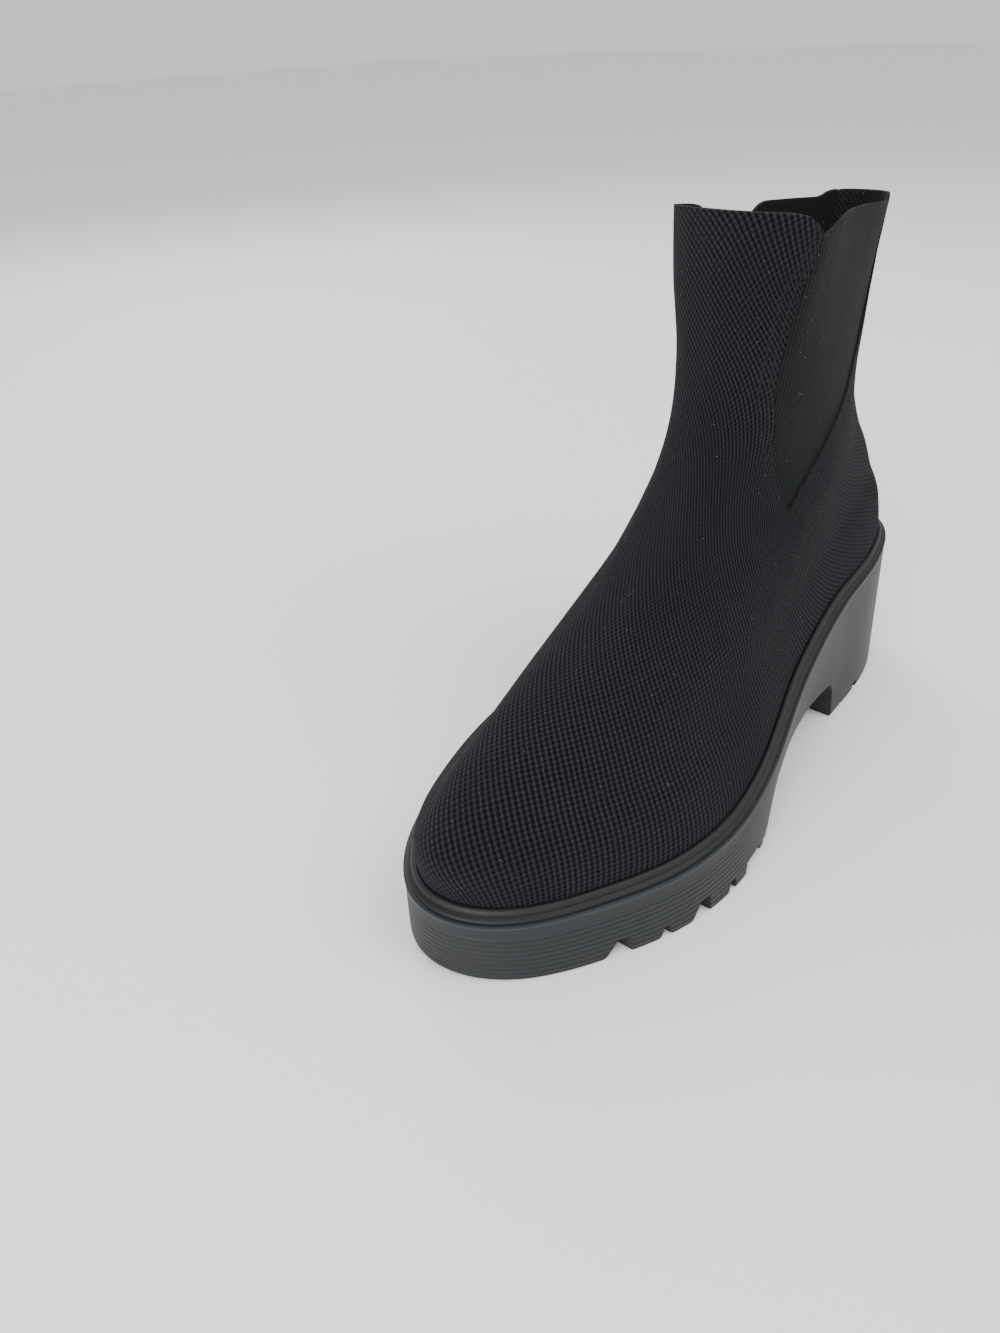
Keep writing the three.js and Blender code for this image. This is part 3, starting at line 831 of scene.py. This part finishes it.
def loft(name, rings):
    """Closed solid between stacked rings, each end closed by rungs across it."""
    piece = grid_piece(name, np.stack(rings), closed=True)
    bm = bmesh.new()
    bm.from_mesh(piece.data)
    for ring in (rings[0], rings[-1]):
        close_end(bm, placed(ring)[:-1])
    bm.to_mesh(piece.data)
    bm.free()
    edit(piece, OUTWARDS)
    return piece


def close_end(bm, ring):
    """Rungs across an open end between the corners that lie on the ring."""
    def spot(place):
        return tuple(round(float(c), 6) for c in place)

    found = {spot(vert.co): vert for vert in bm.verts if vert.is_boundary}
    row = [found[spot(np.float32(place))] for place in ring]
    for i in range(STATIONS // 2):
        a, b, c, d = row[i], row[i + 1], row[STATIONS - i - 1], row[(STATIONS - i) % STATIONS]
        corners = [a, b]
        if c is not b:
            corners.append(c)
        if d is not a:
            corners.append(d)
        if len(corners) > 2:
            bm.faces.new(corners)


def side_prism(outline):
    """Solid right across the boot from an outline in side view (mm from the heel's back)."""
    corners = [placed(np.array([x, -BALL, z])) for x, z in outline]
    bpy.ops.object.select_all(action="DESELECT")
    bpy.ops.mesh.primitive_circle_add(vertices=len(corners), fill_type="NGON")
    piece = bpy.context.object
    piece.data.vertices.foreach_set("co", np.array(corners, np.float32).reshape(-1))
    piece.data.update()
    across = {"TRANSFORM_OT_translate": {"value": (0, 2 * BALL * MM, 0)}}
    edit(piece, (bpy.ops.mesh.extrude_region_move, across), OUTWARDS)
    return piece


def cut(piece, tool):
    apply_modifier(piece, "BOOLEAN", operation="DIFFERENCE", solver="EXACT", object=tool)
    bpy.data.objects.remove(tool, do_unlink=True)


def ring_at(inset, height):
    """Ring of the sole at one height, flat."""
    return sole_point(RING, inset, lambda x: 0 * x + height)


def ring_up(share, inset=0.0, rise=0.0):
    """Ring of the sole at a share of its wall's height, and that much above it."""
    return sole_point(RING, inset, lambda x: wall_height(x) * share + rise)


def side_facing(sole):
    """1 on the outer side wall, 0 on the roof of the arch, the heel's front face and in the notches."""
    at = measured(sole)
    near = np.full(len(at), FAR)
    for share in np.linspace(0, 1, 9):
        for point in ring_up(share):
            level = np.abs(at[:, 2] - point[2]) < 5
            gap = np.hypot(at[:, 0] - point[0], at[:, 1] - point[1])
            near = np.where(level, np.minimum(near, gap), near)
    return np.clip(1 - (near - 2.5) / 1.5, 0, 1)


def cut_notches(sole):
    """Side notches of the lower edge. They run in as far as a core under the middle."""
    for back, roof_back, roof_front, front, high in NOTCHES:
        outline = [(back, -1), (front, -1), (front, 0), (roof_front, high), (roof_back, high), (back, 0)]
        notch = side_prism([(x * LENGTH, z * PLATFORM) for x, z in outline])
        core = loft("core", [ring_at(LUG_REACH, -PLATFORM), ring_at(LUG_REACH, PLATFORM / 2)])
        cut(notch, core)
        cut(sole, notch)


def build_outsole():
    rings = [ring_at(inset, height) for inset, height in SOLE_FOOT]
    rings += [ring_up(share) for share in np.linspace(0.12, 0.86, 12)]
    rings += [ring_up(1, inset, -drop) for inset, drop in SOLE_LIP]
    sole = loft("ribbed_outsole", rings)
    lift = [(x * LENGTH, z * TOE_SPRING) for x, z in TOE_LIFT]
    cut(sole, side_prism([(lift[0][0], -PLATFORM), *lift, (lift[-1][0], -PLATFORM)]))
    cut(sole, side_prism([(x * LENGTH, z * PLATFORM) for x, z in ARCH]))
    cut_notches(sole)
    at = measured(sole)
    add_number(sole, "edge_gap", wall_height(at[:, 0]) - at[:, 2])
    add_number(sole, "border", border_height(at[:, 0]))
    add_number(sole, "outward", side_facing(sole))
    shade(sole, 35)
    return sole


# Section of the welt from the wall's top edge inwards: inset and height above the ledge, mm
WELT = [
    (0.9, 0.3), (0.9, 0.4), (1.3, 0.85), (1.9, 1.2), (2.3, 1.35), (2.45, 1.45), (2.4, 1.8), (2.5, 2.4),
    (2.8, 3.0), (3.3, 3.45), (3.9, 3.6), (4.4, 3.5), (4.75, 3.1), (4.95, 2.5), (4.95, 0.3),
]


def build_welt():
    rings = [ring_up(1, inset, rise) for inset, rise in WELT + WELT[:1]]
    welt = grid_piece("bead_welt", np.stack(rings), closed=True)
    edit(welt, OUTWARDS)
    at = measured(welt)
    add_number(welt, "rise", at[:, 2] - wall_height(at[:, 0]))
    shade(welt, 60)
    return welt


# Finishes. Pitches and lengths on Object coordinates or the knit's flat pattern are in metres.

LINT_SCALE = 1100.0
LINT_SIZE = 0.15
LINT_COLOUR = (0.3, 0.3, 0.3)


def with_lint(net, place, colour):
    """The colour with sparse specks of pale fluff."""
    spots = net.dots(place, LINT_SCALE).step(LINT_SIZE, LINT_SIZE * 0.6)
    few = net.noise(place, LINT_SCALE * 0.31, 1.0).step(0.69, 0.72)
    return net.colours(spots * few, colour, LINT_COLOUR)


# Knit: pitch of the holes across and along, slant of each hole, half sizes of hole and loop
HOLE_ACROSS = 0.00178
HOLE_ALONG = 0.00122
HOLE_SLANT = math.radians(52)
HOLE = (0.00078, 0.00038)
LOOP = (0.00056, 0.00024)
STITCH = 2.6  # length of the stitches along the gores, mm
STITCH_ROWS = (1.8, 4.0)  # distance of the two rows from the gore's edge, mm


def slanted(net, x, y, half_sizes):
    """1 at a cell's middle falling to 0 outside a slanted oval of those half sizes."""
    long, short = half_sizes
    c, s = math.cos(HOLE_SLANT), math.sin(HOLE_SLANT)
    along = (x * (HOLE_ACROSS * c) + y * (HOLE_ALONG * s)) / long
    across = (y * (HOLE_ALONG * c) - x * (HOLE_ACROSS * s)) / short
    return (along * along + across * across).root().step(1.2, 0.35)


def stitches(net):
    """Two rows of thread along the gores and the ditches they lie in."""
    seam = net.attribute("seam_gap")
    dash = (net.attribute("seam_run") / STITCH).fraction() - 0.5
    near, far = [(seam - row).absolute() for row in STITCH_ROWS]
    thread = (near.step(0.5, 0.15) + far.step(0.5, 0.15)) * dash.absolute().step(0.46, 0.36)
    return thread, near.step(1.1, 0.2) + far.step(1.1, 0.2)


def knit_finish():
    net = Finish("black_pique_knit", roughness=0.9, Specular_IOR_Level=0.09, Sheen_Weight=0.03,
                 Sheen_Roughness=0.5, Sheen_Tint=(0.6, 0.62, 0.7))
    u, v, _ = net.uv("knit")
    place = net.object_place()
    waver = net.noise(place, 260.0, 2.0) - 0.5
    a = u / HOLE_ACROSS + waver * 0.35
    b = v / HOLE_ALONG + waver * 0.3
    stagger = b.floor().wrap(2) * 0.5
    y = b.fraction() - 0.5

    # Over the stiff heel counter the knit is stretched flatter
    along_boot, _, _ = net.parts(place)
    open_knit = 1.0 - along_boot.step(-0.04, -0.085) * 0.5
    hole = slanted(net, (a + stagger).fraction() - 0.5, y, HOLE) * open_knit
    loop = slanted(net, (a + stagger + 0.5).fraction() - 0.5, y, LOOP) * open_knit
    yarn = net.noise(net.together(a * 2.2, b * 1.4), 2.2, 2.0)
    cloud = net.noise(place, 28.0)
    thread, ditch = stitches(net)

    ground = net.colours(yarn.step(0.35, 0.7), (0.0070, 0.0072, 0.0084), (0.0165, 0.0169, 0.0196))
    looped = net.colours(loop * (yarn * 0.9 + 0.2), ground, (0.042, 0.043, 0.050))
    # Painted shade: the holes are coloured near black for the shade inside them.
    hole_shaded = net.colours(hole, looped, (0.0003, 0.0003, 0.0004))
    shaded = net.colours(cloud.step(0.35, 0.7) * 0.2, hole_shaded, (0.004, 0.004, 0.0052))
    sewn = net.colours(thread * 0.6, shaded, (0.015, 0.0155, 0.018))
    net.set("Base Color", with_lint(net, place, sewn))
    net.set("Roughness", 0.85 + yarn * 0.1)
    height = loop * 0.5 + yarn * 0.3 - hole * 0.8 - ditch * 0.35 + thread * 0.4
    net.bump(height, 0.0007, 0.9)
    return net.material


GORE_RIB = 1.5  # pitch of the elastic's ribs, mm


def gore_finish():
    net = Finish("ribbed_elastic", roughness=0.8, Specular_IOR_Level=0.12, Sheen_Weight=0.03,
                 Sheen_Roughness=0.5, Sheen_Tint=(0.6, 0.65, 0.65))
    place = net.object_place()
    waver = net.noise(place, 120.0, 2.0) - 0.5
    rib = (net.attribute("across") + waver * 0.4).wave(GORE_RIB)
    fuzz = net.noise(place, 900.0, 2.0)
    # Painted shade: the colour runs from dark in each rib's groove to lighter on its crest.
    share = rib * (fuzz * 0.5 + 0.6)
    ribbed = net.colours(share, (0.0020, 0.0024, 0.0025), (0.0105, 0.0120, 0.0124))
    net.set("Base Color", with_lint(net, place, ribbed))
    net.set("Roughness", 0.75 + fuzz * 0.15)
    net.bump(rib * 0.7 + fuzz * 0.15, 0.0004, 0.8)
    return net.material


# Ribs of the sole: pitch at the toe and heel, and where along the boot each starts and is full
TOE_RIB = 0.0019
HEEL_RIB = 0.0013
TOE_RIBBED = (0.015, 0.05)
HEEL_RIBBED = (-0.06, -0.075)
HEEL_SHARE = 0.7  # depth of the heel's ribs beside the toe's


def sole_finish():
    net = Finish("slate_rubber", roughness=0.5, Specular_IOR_Level=0.3)
    place = net.object_place()
    x, _, z = net.parts(place)
    gap = net.attribute("edge_gap")
    facing = net.attribute("outward")
    toe = x.step(*TOE_RIBBED)
    heel = x.step(*HEEL_RIBBED) * HEEL_SHARE
    rib = z.wave(TOE_RIB) * toe + z.wave(HEEL_RIB) * heel
    kept = (toe + heel) * (gap - net.attribute("border")).step(0.0, 0.5) * facing
    grain = net.noise(place, 1400.0, 2.0)
    cloud = net.noise(place, 30.0)
    base = net.colours(cloud, (0.0105, 0.0122, 0.0141), (0.0150, 0.0170, 0.0194))
    # Painted shade: the ribs' grooves are darkened where the ribs show.
    groove = (kept - rib * facing).most(0.0) * 0.6
    groove_shaded = net.colours(groove, base, (0.004, 0.0047, 0.0055))
    # Painted highlight: a lighter line along the fine lip just under the wall's top edge.
    ledge = (gap - 0.9).absolute().step(0.55, 0.15) * 0.3
    net.set("Base Color", net.colours(ledge, groove_shaded, (0.05, 0.055, 0.06)))
    net.set("Roughness", 0.42 + cloud * 0.12 + grain * 0.06)
    net.bump(rib * kept + grain * 0.04, 0.0004, 0.7)
    return net.material


def welt_finish():
    net = Finish("satin_welt", roughness=0.5, Specular_IOR_Level=0.35)
    place = net.object_place()
    grain = net.noise(place, 1200.0, 2.0)
    cloud = net.noise(place, 40.0)
    bead = net.attribute("rise").step(1.5, 2.4)
    # Painted shade: the band under the bead is darker for the shade in the cove; the bead keeps the
    # rubber's lighter tone.
    shaded_band = net.colours(cloud, (0.0030, 0.0035, 0.0041), (0.0048, 0.0055, 0.0064))
    net.set("Base Color", net.colours(bead, shaded_band, (0.0065, 0.0075, 0.0088)))
    net.set("Roughness", 0.5 + grain * 0.12)
    net.bump(grain, 0.0001, 0.4)
    return net.material


INSOLE_WEAVE = 3500  # waves of the weave per metre, in radians


def insole_finish():
    net = Finish("insole_lining", roughness=0.9, Specular_IOR_Level=0.2)
    x, y, _ = net.parts(net.object_place())
    weave = (x * INSOLE_WEAVE).sine() * (y * INSOLE_WEAVE).sine()
    net.set("Base Color", net.colours(weave * 0.5 + 0.5, (0.008, 0.008, 0.009), (0.02, 0.02, 0.022)))
    net.bump(weave, 0.0002, 0.5)
    return net.material


def dress():
    knit = knit_finish()
    ribbed = gore_finish()
    finish_piece(build_shell(), knit, "upper")
    finish_piece(build_gore("elastic_gore_left", 1), ribbed, "gore_left")
    finish_piece(build_gore("elastic_gore_right", -1), ribbed, "gore_right")
    finish_piece(build_outsole(), sole_finish(), "outsole")
    finish_piece(build_welt(), welt_finish(), "welt")
    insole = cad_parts["insole"]
    insole.data.materials.clear()
    insole.data.materials.append(insole_finish())


add_camera()
add_studio()
add_floor()
dress()
